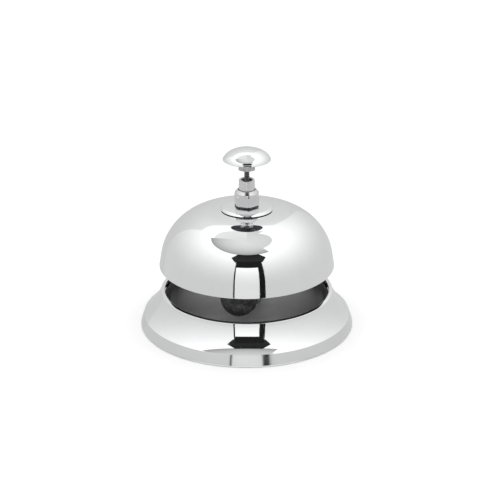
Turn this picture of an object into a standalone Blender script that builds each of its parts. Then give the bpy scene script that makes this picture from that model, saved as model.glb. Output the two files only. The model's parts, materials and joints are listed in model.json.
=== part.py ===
"""Desk call bell: a chromed dome on a hollow post, rung by a push button.

Metres, +Z up. The origin is on the centre line, in the plane that the rubber feet stand on.
The button pushes a plunger down the post. Its tip tilts the striker, a lever with a cast
hammer, whose nose swings out and up to the inside of the dome.
"""

from math import atan2, cos, degrees, hypot, pi, radians, sin

import bmesh
import bpy
from mathutils import Matrix, Vector

MM = 0.001
GAP = 0.3 * MM  # clearance between pieces that touch

# Driving dimensions
BASE_RADIUS = 42.5 * MM
BASE_BOTTOM = 0.3 * MM
BAND_TOP_RADIUS = 41.2 * MM
BAND_TOP = 4.8 * MM
FLARE_ARC_RADIUS = 23.9 * MM
BASE_RIM_RADIUS = 33.7 * MM  # centre line of the rolled bead
BASE_RIM_HEIGHT = 14.2 * MM
BEAD_RADIUS = 0.95 * MM
SHELL_WALL = 1.0 * MM
PAN_FLOOR = 10.4 * MM
BELL_RIM = 25.4 * MM
BELL_RIM_RADIUS = 34.8 * MM
BELL_RADIUS = 34.3 * MM
BELL_WAIST = 26.7 * MM  # height where the side stands upright
BELL_SHOULDER_ARC = 21.8 * MM
BELL_CROWN_ARC = 120.0 * MM
BELL_WALL = 1.2 * MM
POST_RADIUS = 3.15 * MM
POST_BORE = 2.3 * MM
POST_TOP = 61.2 * MM
POST_BOTTOM = 35.4 * MM
NUT_BOTTOM = 51.0 * MM
NUT_SHOULDER = 55.1 * MM  # where the hex ends and the round collar begins
NUT_TOP = 57.1 * MM
NUT_COLLAR = 4.75 * MM
NUT_ACROSS_FLATS = 9.0 * MM
ROD_RADIUS = 1.1 * MM
BUTTON_RADIUS = 9.5 * MM
BUTTON_RIM = 69.8 * MM
BUTTON_TOP = 73.9 * MM
BUTTON_BOSS = 68.7 * MM
STRIKER_AZIMUTH = radians(-7.0)  # the lever points this far to the left of the front
PIVOT_REACH = 9.5 * MM  # from the centre line to the lever's pivot
PIVOT_HEIGHT = 30.5 * MM
LEVER_THICKNESS = 2.0 * MM
HAMMER_RADIUS = 7.3 * MM
HAMMER_HEIGHT = 21.4 * MM
HAMMER_BACK = 19.5 * MM
HAMMER_FACE = 27.0 * MM
HAMMER_NOSE = 30.6 * MM
HAMMER_PIN_REACH = 23.2 * MM
LEVER_TOP = PIVOT_HEIGHT + 1.6 * MM
TIP = LEVER_TOP + 0.35 * MM  # the plunger's round end, just above the lever
SPRING_TOP = 53.6 * MM
SPRING_BOTTOM = 38.9 * MM
SPRING_CLIP = SPRING_TOP + 0.15 * MM
STOP_CLIP = 36.05 * MM
STOP_CLIP_RADIUS = 1.95 * MM
CLIP_THICKNESS = 0.6 * MM
SEAT_TOP = 46.2 * MM
WASHER_RADIUS = 10.5 * MM
WASHER_TOP = 50.3 * MM
COVER_LOW = 2.6 * MM
COVER_HIGH = 3.6 * MM
COVER_DISH = 3.2 * MM  # how far the middle of the cover is raised
FEET = 4
FOOT_CIRCLE = 34.0 * MM

COARSE = 48
MEDIUM = 32
FINE = 20


def clear_scene():
    for thing in list(bpy.data.objects):
        bpy.data.objects.remove(thing, do_unlink=True)


def new_collection(name):
    collection = bpy.data.collections.new(name)
    bpy.context.scene.collection.children.link(collection)
    return collection


def material(name, colour, metallic, roughness):
    made = bpy.data.materials.new(name)
    made.use_nodes = True
    shader = made.node_tree.nodes["Principled BSDF"]
    shader.inputs["Base Color"].default_value = (*colour, 1.0)
    shader.inputs["Metallic"].default_value = metallic
    shader.inputs["Roughness"].default_value = roughness
    return made


clear_scene()
PARTS = new_collection("service_bell")
CUTTERS = new_collection("cutters")
CUTTERS.hide_render = True

CHROME = material("chrome", (0.80, 0.80, 0.81), 1.0, 0.04)
SATIN_STEEL = material("satin_steel", (0.42, 0.42, 0.43), 1.0, 0.38)
ZINC_STEEL = material("zinc_steel", (0.55, 0.55, 0.56), 1.0, 0.30)
DARK_STEEL = material("dark_steel", (0.10, 0.10, 0.11), 1.0, 0.35)
CAST_IRON = material("cast_iron", (0.06, 0.06, 0.06), 0.6, 0.65)
FIBRE = material("fibre", (0.05, 0.04, 0.04), 0.0, 0.80)
RUBBER = material("rubber", (0.02, 0.02, 0.02), 0.0, 0.75)


def new_object(name, data, finish, collection=None):
    made = bpy.data.objects.new(name, data)
    (collection or PARTS).objects.link(made)
    if finish:
        made.data.materials.append(finish)
    return made


def empty(name, position, turn=0.0):
    made = bpy.data.objects.new(name, None)
    made.location = position
    made.rotation_euler = (0.0, 0.0, turn)
    PARTS.objects.link(made)
    return made


def arc(centre, radius, start, end, count):
    """Points on a circle between two angles in degrees, both ends included."""
    steps = [radians(start + (end - start) * i / (count - 1)) for i in range(count)]
    return [(centre[0] + radius * cos(a), centre[1] + radius * sin(a)) for a in steps]


def arc_between(first, last, radius, count):
    """A circular arc that curves in towards the centre line on its way down."""
    chord_r, chord_z = last[0] - first[0], last[1] - first[1]
    half = hypot(chord_r, chord_z) / 2
    rise = (radius**2 - half**2) ** 0.5
    centre = (
        (first[0] + last[0]) / 2 - chord_z / (2 * half) * rise,
        (first[1] + last[1]) / 2 + chord_r / (2 * half) * rise,
    )
    start = atan2(first[1] - centre[1], first[0] - centre[0])
    end = atan2(last[1] - centre[1], last[0] - centre[0])
    if end < start:
        end += 2 * pi
    angles = [start + (end - start) * i / (count - 1) for i in range(count)]
    return [(centre[0] + radius * cos(a), centre[1] + radius * sin(a)) for a in angles]


def turned(name, profile, finish, steps=MEDIUM, closed=False, collection=None):
    """A profile of (radius, height) points turned about Z, outer side first, top to bottom."""
    data = bpy.data.meshes.new(name)
    edges = [(i, i + 1) for i in range(len(profile) - 1)]
    if closed:
        edges.append((len(profile) - 1, 0))
    data.from_pydata([(r, 0.0, z) for r, z in profile], edges, [])
    made = new_object(name, data, finish, collection)
    screw = made.modifiers.new("turn", "SCREW")
    screw.axis = "Z"
    screw.steps = steps
    screw.render_steps = steps
    screw.use_merge_vertices = True
    screw.merge_threshold = 0.00001
    screw.use_smooth_shade = True
    return made


def ring(name, inner, outer, low, high, finish, steps=FINE, collection=None):
    profile = [(outer, high), (outer, low), (inner, low), (inner, high)]
    return turned(name, profile, finish, steps, closed=True, collection=collection)


def rod(name, radius, low, high, finish, steps=FINE, collection=None):
    profile = [(0.0, high), (radius, high), (radius, low), (0.0, low)]
    return turned(name, profile, finish, steps, collection=collection)


def box(name, low, high, finish=None, collection=None):
    data = bpy.data.meshes.new(name)
    cage = bmesh.new()
    bmesh.ops.create_cube(cage, size=1.0)
    size = [high[i] - low[i] for i in range(3)]
    middle = Vector([(high[i] + low[i]) / 2 for i in range(3)])
    bmesh.ops.scale(cage, vec=size, verts=cage.verts)
    bmesh.ops.translate(cage, vec=middle, verts=cage.verts)
    cage.to_mesh(data)
    cage.free()
    return new_object(name, data, finish, collection)


def cutter(made):
    made.hide_render = True
    made.display_type = "WIRE"
    return made


def boolean(target, other, operation):
    modifier = target.modifiers.new(operation.lower(), "BOOLEAN")
    modifier.operation = operation
    modifier.solver = "EXACT"
    modifier.object = other


def cut(target, other):
    boolean(target, cutter(other), "DIFFERENCE")


def hex_prism(name, across_flats, low, high, finish, turn=0.0):
    data = bpy.data.meshes.new(name)
    cage = bmesh.new()
    corner = across_flats / (2 * cos(radians(30)))
    bmesh.ops.create_cone(
        cage,
        cap_ends=True,
        segments=6,
        radius1=corner,
        radius2=corner,
        depth=high - low,
        matrix=Matrix.Translation((0, 0, (low + high) / 2)) @ Matrix.Rotation(turn, 4, "Z"),
    )
    cage.to_mesh(data)
    cage.free()
    return new_object(name, data, finish)


def hex_nut(name, across_flats, bore, low, high, finish, chamfer, turn=0.0):
    """A hex nut with its corners turned off at both ends."""
    nut = hex_prism(name, across_flats, low, high, finish, turn)
    corner = across_flats / (2 * cos(radians(30)))
    chamfered = [
        (0.0, high + MM),
        (corner - chamfer - MM, high + MM),
        (corner - chamfer, high),
        (corner + 0.2 * MM, high - chamfer),
        (corner + 0.2 * MM, low + chamfer),
        (corner - chamfer, low),
        (corner - chamfer - MM, low - MM),
        (0.0, low - MM),
    ]
    envelope = turned(name + "_envelope", chamfered, None, FINE, collection=CUTTERS)
    boolean(nut, cutter(envelope), "INTERSECT")
    cut(nut, rod(name + "_bore", bore, low - MM, high + MM, None, FINE, CUTTERS))
    return nut


def flare_profile(count):
    """The base's outer side, from the rolled bead down its hollow flare to the foot band."""
    start = (BASE_RIM_RADIUS + 0.86 * MM, BASE_RIM_HEIGHT - 0.6 * MM)
    return arc_between(start, (BAND_TOP_RADIUS, BAND_TOP), FLARE_ARC_RADIUS, count)


def base_shell():
    """Spun shell: bead, flare and foot band. The inner side follows the outer at one wall."""
    bead_centre = (BASE_RIM_RADIUS, BASE_RIM_HEIGHT)
    bead = arc(bead_centre, BEAD_RADIUS, 180, -20, 8)
    outer = flare_profile(6)
    band = [(BASE_RADIUS, BASE_BOTTOM + 0.5 * MM), (BASE_RADIUS - 0.2 * MM, BASE_BOTTOM)]
    inner_foot = [
        (BASE_RADIUS - SHELL_WALL - 0.2 * MM, BASE_BOTTOM),
        (BAND_TOP_RADIUS - SHELL_WALL - 0.2 * MM, BAND_TOP - 0.75 * MM),
    ]
    inner = [(r - 0.85 * SHELL_WALL, z - 0.5 * SHELL_WALL) for r, z in reversed(outer[1:-1])]
    throat = [(BASE_RIM_RADIUS - 0.1 * MM, BASE_RIM_HEIGHT - BEAD_RADIUS - 0.25 * MM)]
    profile = bead + outer + band + inner_foot + inner + throat
    turned("base_shell", profile, CHROME, COARSE, closed=True)


def mechanism_pan():
    """Satin dish that closes the top of the base. Its lip is crimped under the bead."""
    floor_radius = 30.9 * MM
    lip = (32.2 * MM, 13.0 * MM)
    wall = 1.0 * MM
    profile = [
        (lip[0] - 0.1 * MM, lip[1]),
        (lip[0] + 0.7 * MM, lip[1] - 0.2 * MM),
        (floor_radius + wall, PAN_FLOOR - 0.2 * MM),
        (floor_radius + 0.4 * MM, PAN_FLOOR - wall),
        (3.3 * MM, PAN_FLOOR - wall),
        (3.3 * MM, PAN_FLOOR),
        (floor_radius - 0.6 * MM, PAN_FLOOR),
        (floor_radius, PAN_FLOOR + 0.3 * MM),
    ]
    turned("mechanism_pan", profile, SATIN_STEEL, COARSE, closed=True)


def foot_positions():
    for i in range(FEET):
        angle = 2 * pi * (i + 0.5) / FEET
        yield i + 1, (FOOT_CIRCLE * cos(angle), FOOT_CIRCLE * sin(angle), 0.0)


def bottom_cover():
    """Steel disc up against the inside corner of the foot band, dished at its middle."""
    rim = 39.9 * MM
    profile = [
        (rim, COVER_HIGH),
        (rim, COVER_LOW),
        (13.5 * MM, COVER_LOW),
        (11.0 * MM, COVER_LOW + COVER_DISH),
        (3.3 * MM, COVER_LOW + COVER_DISH),
        (3.3 * MM, COVER_HIGH + COVER_DISH),
        (11.5 * MM, COVER_HIGH + COVER_DISH),
        (14.0 * MM, COVER_HIGH),
    ]
    cover = turned("bottom_cover", profile, ZINC_STEEL, MEDIUM, closed=True)
    for number, place in foot_positions():
        hole = rod(f"foot_hole_{number}", 1.9 * MM, 1.0 * MM, 5.0 * MM, None, 12, CUTTERS)
        hole.location = place
        cut(cover, hole)


def rubber_feet():
    """Push-in feet: a pad, a neck through the cover and a barb that holds it."""
    profile = [
        (0.0, 5.4 * MM),
        (1.1 * MM, 5.4 * MM),
        (2.3 * MM, COVER_HIGH + GAP),
        (1.5 * MM, COVER_HIGH + GAP),
        (1.5 * MM, COVER_LOW - GAP),
        (3.6 * MM, COVER_LOW - GAP),
        (4.0 * MM, 1.6 * MM),
        (3.7 * MM, 0.0),
        (0.0, 0.0),
    ]
    for number, place in foot_positions():
        foot = turned(f"rubber_foot_{number}", profile, RUBBER, FINE)
        foot.location = place


def pedestal():
    """Clevis block on the pan: a stud below, a slot and two ears for the lever, a socket on top."""
    top = 41.0 * MM
    column = 5.4 * MM
    profile = [
        (0.0, top),
        (4.9 * MM, top),
        (column, top - 0.5 * MM),
        (column, 12.2 * MM),
        (6.2 * MM, 12.0 * MM),
        (6.2 * MM, PAN_FLOOR + GAP),
        (2.9 * MM, PAN_FLOOR + GAP),
        (2.9 * MM, 1.5 * MM),
        (0.0, 1.5 * MM),
    ]
    block = turned("pedestal", profile, ZINC_STEEL, FINE)
    ear_front = PIVOT_REACH + 3.0 * MM
    ears = box(
        "pedestal_ears",
        (-3.3 * MM, -ear_front, PIVOT_HEIGHT - 3.4 * MM),
        (3.3 * MM, -1.0 * MM, PIVOT_HEIGHT + 3.4 * MM),
        None,
        CUTTERS,
    )
    slot = box(
        "pedestal_slot",
        (-1.5 * MM, -ear_front - MM, 22.5 * MM),
        (1.5 * MM, 3.6 * MM, PIVOT_HEIGHT + 4.4 * MM),
        None,
        CUTTERS,
    )
    pin_hole = rod("pivot_hole", 1.3 * MM, -6.0 * MM, 6.0 * MM, None, 16, CUTTERS)
    pin_hole.rotation_euler = (0.0, pi / 2, 0.0)
    socket_radius = POST_RADIUS + 0.25 * MM
    socket = rod("post_socket", socket_radius, POST_BOTTOM - GAP, top + MM, None, FINE, CUTTERS)
    clip_radius = STOP_CLIP_RADIUS + GAP
    clip_bore = rod("clip_bore", clip_radius, TIP - MM, POST_BOTTOM + MM, None, FINE, CUTTERS)
    turn = Matrix.Rotation(STRIKER_AZIMUTH, 4, "Z")
    block.matrix_world = turn
    ears.matrix_world = turn
    slot.matrix_world = turn
    pin_place = Matrix.Translation((0.0, -PIVOT_REACH, PIVOT_HEIGHT))
    pin_hole.matrix_world = turn @ pin_place @ Matrix.Rotation(pi / 2, 4, "Y")
    boolean(block, cutter(ears), "UNION")
    for tool in (slot, pin_hole, socket, clip_bore):
        cut(block, tool)


def base_fastening():
    """Spacer between pan and cover, and the washer and nut on the pedestal's stud."""
    ring("base_spacer", 3.2 * MM, 5.6 * MM, 7.1 * MM, 9.1 * MM, ZINC_STEEL)
    ring("base_washer", 3.2 * MM, 6.8 * MM, 4.7 * MM, 5.5 * MM, ZINC_STEEL)
    hex_nut("base_nut", 9.0 * MM, 3.2 * MM, 1.9 * MM, 4.4 * MM, ZINC_STEEL, 0.4 * MM)


def post_tube():
    """Hollow post with a rounded lip."""
    lip = 0.25 * MM
    profile = [
        (POST_RADIUS - lip, POST_TOP),
        (POST_RADIUS, POST_TOP - lip),
        (POST_RADIUS, POST_BOTTOM),
        (POST_BORE, POST_BOTTOM),
        (POST_BORE, POST_TOP - lip),
        (POST_BORE + lip, POST_TOP),
    ]
    turned("post_tube", profile, CHROME, MEDIUM, closed=True)


def post_lock_nut():
    hex_nut("post_lock_nut", 9.0 * MM, 3.45 * MM, 41.3 * MM, 43.3 * MM, ZINC_STEEL, 0.4 * MM)


def bell_seat():
    """Turned collar on the post that carries the dome."""
    profile = [
        (7.2 * MM, SEAT_TOP),
        (7.2 * MM, SEAT_TOP - 1.2 * MM),
        (4.8 * MM, SEAT_TOP - 1.4 * MM),
        (4.8 * MM, 43.6 * MM),
        (3.45 * MM, 43.6 * MM),
        (3.45 * MM, SEAT_TOP),
    ]
    turned("bell_seat", profile, ZINC_STEEL, FINE, closed=True)


def bell_profile(count):
    """The dome's outer side from the centre hole to the rim: crown, shoulder and flared skirt."""
    shoulder_r = BELL_RADIUS - BELL_SHOULDER_ARC
    drop = ((BELL_CROWN_ARC - BELL_SHOULDER_ARC) ** 2 - shoulder_r**2) ** 0.5
    crown_z = BELL_WAIST - drop
    meeting = 90 - degrees(atan2(shoulder_r, drop))
    hole = 3.45 * MM
    hole_angle = 90 - degrees(hole / BELL_CROWN_ARC)
    crown = arc((0.0, crown_z), BELL_CROWN_ARC, hole_angle, meeting, 3)
    shoulder = arc((shoulder_r, BELL_WAIST), BELL_SHOULDER_ARC, meeting, 8, count)
    return crown[:-1] + shoulder + [(BELL_RIM_RADIUS, BELL_RIM)]


def bell_dome():
    """Pressed dome with a small hole at its crown, one wall thick."""
    dome = turned("bell_dome", bell_profile(10), CHROME, COARSE)
    wall = dome.modifiers.new("wall", "SOLIDIFY")
    wall.thickness = BELL_WALL
    wall.offset = -1.0
    wall.use_even_offset = True


def crown_height(radius):
    """Height of the dome's outer side near its centre."""
    shoulder_r = BELL_RADIUS - BELL_SHOULDER_ARC
    drop = ((BELL_CROWN_ARC - BELL_SHOULDER_ARC) ** 2 - shoulder_r**2) ** 0.5
    return BELL_WAIST - drop + (BELL_CROWN_ARC**2 - radius**2) ** 0.5


def seat_washer():
    ring("seat_washer", 3.45 * MM, 6.9 * MM, SEAT_TOP + GAP, SEAT_TOP + 1.2 * MM, FIBRE)


def domed_washer():
    """Polished cup washer that presses on the crown with its edge."""
    edge = crown_height(WASHER_RADIUS) + GAP
    profile = [
        (4.9 * MM, WASHER_TOP),
        (7.4 * MM, WASHER_TOP - 0.07 * MM),
        (9.2 * MM, WASHER_TOP - 0.2 * MM),
        (9.8 * MM, WASHER_TOP - 0.35 * MM),
        (10.35 * MM, WASHER_TOP - 1.0 * MM),
        (WASHER_RADIUS, edge),
        (WASHER_RADIUS - 1.0 * MM, edge + 0.05 * MM),
        (8.4 * MM, WASHER_TOP - 0.95 * MM),
        (3.45 * MM, WASHER_TOP - 0.75 * MM),
        (3.45 * MM, WASHER_TOP),
    ]
    turned("domed_washer", profile, CHROME, MEDIUM, closed=True)


def lock_washer():
    low = WASHER_TOP + 0.15 * MM
    ring("lock_washer", 3.45 * MM, 5.0 * MM, low, NUT_BOTTOM - 0.15 * MM, DARK_STEEL)


def clamp_nut():
    """Hex nut under a round, coned collar."""
    turn = radians(-60 - 19)
    nut = hex_prism("clamp_nut", NUT_ACROSS_FLATS, NUT_BOTTOM, NUT_SHOULDER, CHROME, turn)
    corner = NUT_ACROSS_FLATS / (2 * cos(radians(30)))
    edges = [
        (0.0, NUT_SHOULDER + MM),
        (NUT_COLLAR - MM, NUT_SHOULDER + MM),
        (NUT_COLLAR, NUT_SHOULDER),
        (corner + 0.1 * MM, NUT_SHOULDER - 0.35 * MM),
        (corner + 0.1 * MM, NUT_BOTTOM + 0.3 * MM),
        (corner - 0.3 * MM, NUT_BOTTOM),
        (corner - 0.6 * MM, NUT_BOTTOM - MM),
        (0.0, NUT_BOTTOM - MM),
    ]
    envelope = turned("clamp_nut_envelope", edges, None, MEDIUM, collection=CUTTERS)
    boolean(nut, cutter(envelope), "INTERSECT")
    collar_shape = [
        (0.0, NUT_TOP),
        (POST_RADIUS + 0.55 * MM, NUT_TOP),
        (POST_RADIUS + 0.8 * MM, NUT_TOP - 0.1 * MM),
        (NUT_COLLAR, NUT_TOP - 1.2 * MM),
        (NUT_COLLAR, NUT_SHOULDER - 0.1 * MM),
        (0.0, NUT_SHOULDER - 0.1 * MM),
    ]
    collar = turned("clamp_nut_collar", collar_shape, None, MEDIUM, collection=CUTTERS)
    boolean(nut, cutter(collar), "UNION")
    bore = rod("clamp_nut_bore", 3.4 * MM, NUT_BOTTOM - MM, NUT_TOP + MM, None, FINE, CUTTERS)
    cut(nut, bore)


def plunger_rod(slide):
    """Rod with a round tip, two clip grooves and a thread-sized end in the button."""
    groove = 0.75 * MM
    tip = arc((0.0, TIP + ROD_RADIUS), ROD_RADIUS, 0, -90, 5)
    profile = [(0.0, 71.4 * MM), (ROD_RADIUS, 71.4 * MM)]
    for seat in (SPRING_CLIP, STOP_CLIP):
        low, high = seat - 0.15 * MM, seat + CLIP_THICKNESS + 0.15 * MM
        profile += [(ROD_RADIUS, high), (groove, high), (groove, low), (ROD_RADIUS, low)]
    profile += tip[:-1] + [(0.0, TIP)]
    made = turned("plunger_rod", profile, DARK_STEEL, FINE)
    hang(made, slide)


def hang(made, parent):
    """Parent a piece that is modelled in place, so that its origin is its parent's."""
    offset = Vector(parent.location)
    turn = Matrix.Rotation(-parent.rotation_euler[2], 4, "Z")
    made.data.transform(turn @ Matrix.Translation(-offset))
    made.parent = parent


def push_button(slide):
    """Domed cap, flatter on top than at its sides, with a thin edge and a blind hole for the rod."""
    lowest = radians(15)  # the crown is an ellipse cut off at this angle
    radius = (BUTTON_RADIUS - 0.15 * MM) / cos(lowest)
    rise = (BUTTON_TOP - BUTTON_RIM) / (1 - sin(lowest))
    middle = BUTTON_TOP - rise
    angles = [pi / 2 - (pi / 2 - lowest) * i / 8 for i in range(1, 9)]
    profile = [(0.0, BUTTON_TOP)]
    profile += [(radius * cos(a), middle + rise * sin(a)) for a in angles]
    profile += [
        (BUTTON_RADIUS, BUTTON_RIM - 0.3 * MM),
        (BUTTON_RADIUS - 0.3 * MM, BUTTON_RIM - 0.6 * MM),
        (4.2 * MM, BUTTON_BOSS),
        (ROD_RADIUS + 0.3 * MM, BUTTON_BOSS),
        (ROD_RADIUS + 0.3 * MM, BUTTON_BOSS + 3.0 * MM),
        (0.0, BUTTON_BOSS + 3.0 * MM),
    ]
    hang(turned("push_button", profile, CHROME, MEDIUM), slide)


def button_lock_nut(slide):
    low = 65.4 * MM
    high = BUTTON_BOSS - GAP
    nut = hex_nut("button_lock_nut", 6.5 * MM, ROD_RADIUS + GAP, low, high, ZINC_STEEL, 0.35 * MM)
    nut.parent = slide
    nut.matrix_parent_inverse = slide.matrix_world.inverted()
    nut.location = (0.0, 0.0, 0.0)


def clip(name, low, outer, slide):
    """Snap ring in one of the rod's grooves."""
    hang(ring(name, 0.95 * MM, outer, low, low + CLIP_THICKNESS, ZINC_STEEL, 16), slide)


def return_spring():
    """Compression spring between the guide bush and the upper clip."""
    turns = 7
    per_turn = 12
    wire = 0.18 * MM
    mean_radius = 1.68 * MM
    count = turns * per_turn + 1
    curve = bpy.data.curves.new("return_spring", "CURVE")
    curve.dimensions = "3D"
    curve.bevel_depth = wire
    curve.bevel_resolution = 1
    curve.use_fill_caps = True
    line = curve.splines.new("POLY")
    line.points.add(count - 1)
    low, high = SPRING_BOTTOM + wire, SPRING_TOP - wire - 0.15 * MM
    for i, point in enumerate(line.points):
        angle = 2 * pi * i / per_turn
        height = low + (high - low) * i / (count - 1)
        point.co = (mean_radius * cos(angle), mean_radius * sin(angle), height, 1.0)
    new_object("return_spring", curve, ZINC_STEEL)


def guide_bush():
    """Bush at the foot of the tube: it guides the rod and seats the spring."""
    ring("guide_bush", 1.4 * MM, 2.0 * MM, 37.2 * MM, SPRING_BOTTOM - 0.15 * MM, ZINC_STEEL)


def lever_point(reach, height):
    """A point of the lever's side view, from the pivot: x is towards the back."""
    return (PIVOT_REACH - reach, height - PIVOT_HEIGHT)


def striker_arm(pivot):
    """Flat stamped lever: a tail under the plunger, a pivot eye, and a shank to the hammer."""
    half = 1.6 * MM
    boss = arc((0.0, 0.0), 2.9 * MM, 145, 34, 5)
    eye = lever_point(HAMMER_PIN_REACH, HAMMER_HEIGHT)
    rounded = arc(eye, 2.6 * MM, 90, 270, 7)
    under = arc((0.0, 0.0), 2.9 * MM, 250, 326, 4)
    outline = [(12.0 * MM, half), (12.0 * MM, -half)]
    outline += [(x, y) for x, y in reversed(under)]
    outline += [(x, y) for x, y in reversed(rounded)]
    outline += [(x, y) for x, y in boss if x < 2.45 * MM]
    curve = bpy.data.curves.new("striker_arm", "CURVE")
    curve.dimensions = "2D"
    curve.fill_mode = "BOTH"
    curve.extrude = LEVER_THICKNESS / 2
    for centre, radius, points in (
        (None, None, outline),
        ((0.0, 0.0), 1.3 * MM, None),
        (eye, 1.2 * MM, None),
    ):
        points = points or arc(centre, radius, 0, 337.5, 16)
        line = curve.splines.new("POLY")
        line.points.add(len(points) - 1)
        line.use_cyclic_u = True
        for point, (x, y) in zip(line.points, points):
            point.co = (x, y, 0.0, 1.0)
    made = new_object("striker_arm", curve, ZINC_STEEL)
    made.parent = pivot
    made.rotation_euler = (pi / 2, 0.0, pi / 2)


def hammer(pivot):
    """Cast drum with a blunt nose, slotted from behind for the lever."""
    length = HAMMER_FACE - HAMMER_BACK
    nose = HAMMER_NOSE - HAMMER_FACE
    profile = [
        (0.0, length + nose),
        (3.4 * MM, length + 0.86 * nose),
        (5.6 * MM, length + 0.5 * nose),
        (6.9 * MM, length),
        (HAMMER_RADIUS, length - 1.6 * MM),
        (HAMMER_RADIUS, 0.9 * MM),
        (HAMMER_RADIUS - 0.9 * MM, 0.0),
        (0.0, 0.0),
    ]
    drum = turned("hammer", profile, CAST_IRON, 24)
    away = Matrix.Rotation(pi / 2, 4, "X")
    place = Matrix.Translation((0.0, PIVOT_REACH - HAMMER_BACK, HAMMER_HEIGHT - PIVOT_HEIGHT))
    drum.parent = pivot
    drum.matrix_local = place @ away
    back = PIVOT_REACH - HAMMER_BACK
    drop = HAMMER_HEIGHT - PIVOT_HEIGHT
    slot = box(
        "hammer_slot",
        (-1.35 * MM, back - 6.9 * MM, drop - 3.1 * MM),
        (1.35 * MM, back + MM, drop + 9.0 * MM),
        None,
        CUTTERS,
    )
    slot.parent = pivot
    hole = rod("hammer_pin_hole", 1.2 * MM, -9.0 * MM, 9.0 * MM, None, 16, CUTTERS)
    hole.parent = pivot
    middle = Matrix.Translation((0.0, PIVOT_REACH - HAMMER_PIN_REACH, drop))
    hole.matrix_local = middle @ Matrix.Rotation(pi / 2, 4, "Y")
    cut(drum, slot)
    cut(drum, hole)


def cross_pin(name, radius, half_length, head, parent, place, finish):
    """Pin along the lever's X axis with a shallow head at one end."""
    profile = [
        (0.0, half_length),
        (radius - 0.2 * MM, half_length),
        (radius, half_length - 0.2 * MM),
        (radius, head[1] - half_length),
        (head[0], head[1] - half_length),
        (head[0], -half_length),
        (0.0, -half_length),
    ]
    pin = turned(name, profile, finish, 16)
    pin.parent = parent
    pin.matrix_local = Matrix.Translation(place) @ Matrix.Rotation(pi / 2, 4, "Y")
    return pin


def pins(pivot, clevis):
    cross_pin("pivot_pin", 1.0 * MM, 4.6 * MM, (2.0 * MM, 0.8 * MM), clevis, (0, 0, 0), ZINC_STEEL)
    clip_ring = ring("pivot_clip", 1.15 * MM, 2.0 * MM, 3.6 * MM, 4.2 * MM, DARK_STEEL, 16)
    clip_ring.parent = clevis
    clip_ring.matrix_local = Matrix.Rotation(pi / 2, 4, "Y")
    middle = (0.0, PIVOT_REACH - HAMMER_PIN_REACH, HAMMER_HEIGHT - PIVOT_HEIGHT)
    cross_pin("hammer_rivet", 0.9 * MM, 6.8 * MM, (0.9 * MM, 0.4 * MM), pivot, middle, ZINC_STEEL)


def main():
    slide = empty("plunger_slide", (0.0, 0.0, POST_TOP))
    pivot_place = Matrix.Rotation(STRIKER_AZIMUTH, 3, "Z") @ Vector((0.0, -PIVOT_REACH, PIVOT_HEIGHT))
    striker = empty("striker_pivot", pivot_place, STRIKER_AZIMUTH)
    clevis = empty("clevis_axis", pivot_place, STRIKER_AZIMUTH)
    bpy.context.view_layer.update()
    base_shell()
    mechanism_pan()
    bottom_cover()
    rubber_feet()
    pedestal()
    base_fastening()
    post_tube()
    post_lock_nut()
    bell_seat()
    seat_washer()
    bell_dome()
    domed_washer()
    lock_washer()
    clamp_nut()
    guide_bush()
    return_spring()
    plunger_rod(slide)
    push_button(slide)
    button_lock_nut(slide)
    clip("spring_clip", SPRING_CLIP, 2.0 * MM, slide)
    clip("stop_clip", STOP_CLIP, STOP_CLIP_RADIUS, slide)
    striker_arm(striker)
    hammer(striker)
    pins(striker, clevis)


main()
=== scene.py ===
"""Looks of the desk call bell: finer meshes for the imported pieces, their finishes, studio and camera.

Metres, +Z up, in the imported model's frame. Each fine piece takes its place and size from the CAD
node that it stands for, and rides on that node's body.
"""

import json
from math import atan2, ceil, cos, degrees, hypot, pi, radians, sin, tan

import bmesh
import bpy
from mathutils import Matrix, Vector, noise


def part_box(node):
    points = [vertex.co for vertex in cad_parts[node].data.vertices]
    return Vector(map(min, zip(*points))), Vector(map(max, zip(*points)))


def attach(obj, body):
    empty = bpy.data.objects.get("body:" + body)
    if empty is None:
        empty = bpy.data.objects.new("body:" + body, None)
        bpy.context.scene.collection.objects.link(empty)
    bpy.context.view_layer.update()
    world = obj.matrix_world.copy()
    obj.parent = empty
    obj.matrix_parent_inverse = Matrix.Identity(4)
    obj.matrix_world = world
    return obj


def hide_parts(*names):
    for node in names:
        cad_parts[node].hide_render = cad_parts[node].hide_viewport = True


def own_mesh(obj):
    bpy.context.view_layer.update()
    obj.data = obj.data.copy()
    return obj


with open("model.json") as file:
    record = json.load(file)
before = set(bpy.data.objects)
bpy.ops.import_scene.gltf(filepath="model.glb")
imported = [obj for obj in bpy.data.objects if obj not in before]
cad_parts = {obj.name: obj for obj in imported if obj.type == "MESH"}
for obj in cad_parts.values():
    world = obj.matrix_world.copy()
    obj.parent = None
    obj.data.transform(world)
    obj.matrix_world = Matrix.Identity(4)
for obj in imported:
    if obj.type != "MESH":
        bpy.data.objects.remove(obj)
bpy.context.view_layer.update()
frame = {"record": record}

MM = 0.001

# Shapes that the boxes of the CAD nodes don't give
BAND_TOP_RADIUS = 41.2 * MM
BAND_TOP = 4.8 * MM
FLARE_ARC_RADIUS = 23.9 * MM
ROLL_RADIUS = 33.7 * MM  # middle of the roll round the base's mouth
SHELL_WALL = 1.0 * MM
PAN_FLOOR_RADIUS = 30.9 * MM
BELL_RADIUS = 34.3 * MM
BELL_WAIST = 26.7 * MM
BELL_SHOULDER_ARC = 21.8 * MM
BELL_CROWN_ARC = 120.0 * MM
BELL_WALL = 1.2 * MM
POST_BORE = 2.3 * MM
POST_CLEARANCE = 3.45 * MM  # hole in what sits on the post
STUD_CLEARANCE = 3.2 * MM  # hole in what sits on the pedestal's stud
ROD_CLEARANCE = 1.4 * MM  # hole in what the rod passes through
ROD_GROOVE = 0.75 * MM
CLIP_BORE = 0.95 * MM
CLAMP_FLATS = 9.0 * MM
CLAMP_TURN = radians(-79.0)
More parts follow.
